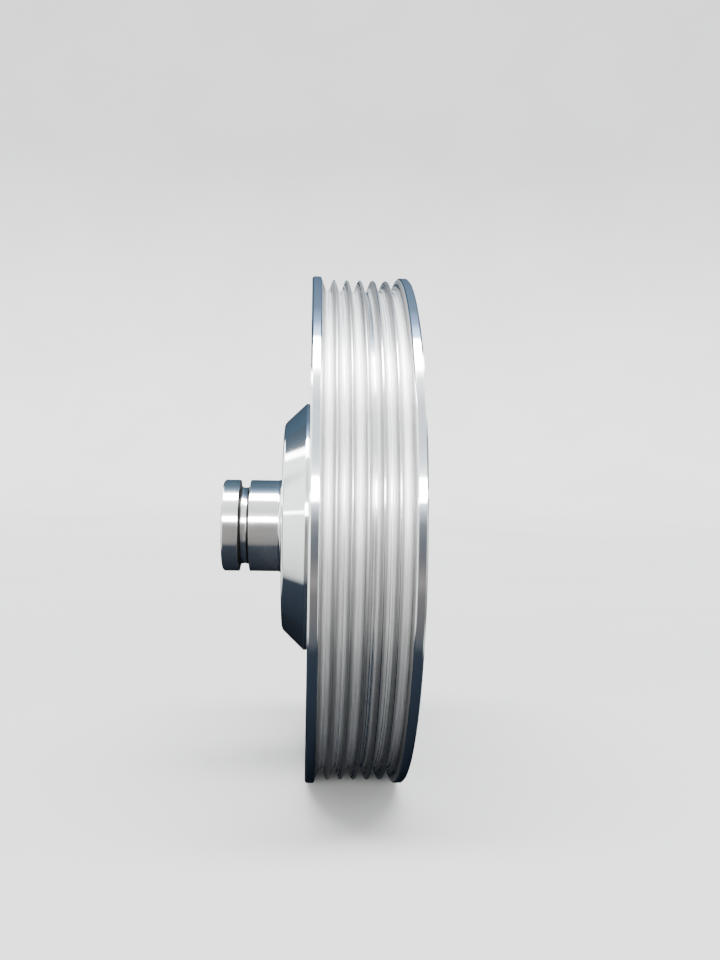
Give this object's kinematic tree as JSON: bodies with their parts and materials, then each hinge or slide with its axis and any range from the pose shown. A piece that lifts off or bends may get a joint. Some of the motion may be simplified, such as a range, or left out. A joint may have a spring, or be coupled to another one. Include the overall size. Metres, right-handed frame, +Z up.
{
  "type": "supercharger drive pulley",
  "caption": "Crankshaft-side grooved belt pulley that drives a supercharger, with a conical boss, a pilot snout and a torsional damper inside its rim.",
  "frame": {"origin": "on the spin axis, in the plane of the boss's rear face that seats on the crankshaft", "axes": "+Y along the spin axis from the pulley's front towards the crankshaft, +Z up; the part is round, so X and Z differ only by the screw pattern"},
  "size_m": [0.1436, 0.0509, 0.1436],
  "materials": {
    "polished_aluminium": "turned and polished to a mirror, with satin belt grooves",
    "cover_aluminium": "polished, with fine turning lines",
    "turned_steel": "ground and polished, with fine turning lines",
    "inertia_steel": "turned",
    "elastomer": "matt black",
    "black_screws": "black oxide, lightly oiled",
    "washer_steel": "hardened and ground",
    "insert_steel": "passivated",
    "dowel_steel": "ground"
  },
  "bodies": {
    "root": {"pulley_shell": "polished_aluminium", "hub_boss": "polished_aluminium", "pilot_sleeve": "turned_steel", "damper_cover": "cover_aluminium", "outer_front_damping_ring": "elastomer", "outer_rear_damping_ring": "elastomer", "inner_front_damping_ring": "elastomer", "inner_rear_damping_ring": "elastomer", "rear_face_ring": "elastomer", "front_face_ring": "elastomer", "outer_cover_screws": "black_screws", "inner_cover_screws": "black_screws", "cover_dowel": "dowel_steel", "hub_screws": "black_screws", "hub_screw_washers": "washer_steel", "hub_thread_inserts": "insert_steel", "hub_dowels": "dowel_steel", "bolt_seat_washer": "washer_steel", "puller_thread_inserts": "insert_steel", "balance_set_screws": "black_screws"},
    "inertia_ring": {"inertia_ring": "inertia_steel"}
  },
  "joints": [
    {"name": "inertia_ring_twist", "type": "hinge", "parent": "root", "child": "inertia_ring", "pos_m": [0, 0, 0], "axis": [0, 1, 0], "range_deg": [-1.5, 1.5], "stiffness_Nm_per_rad": 80}
  ]
}
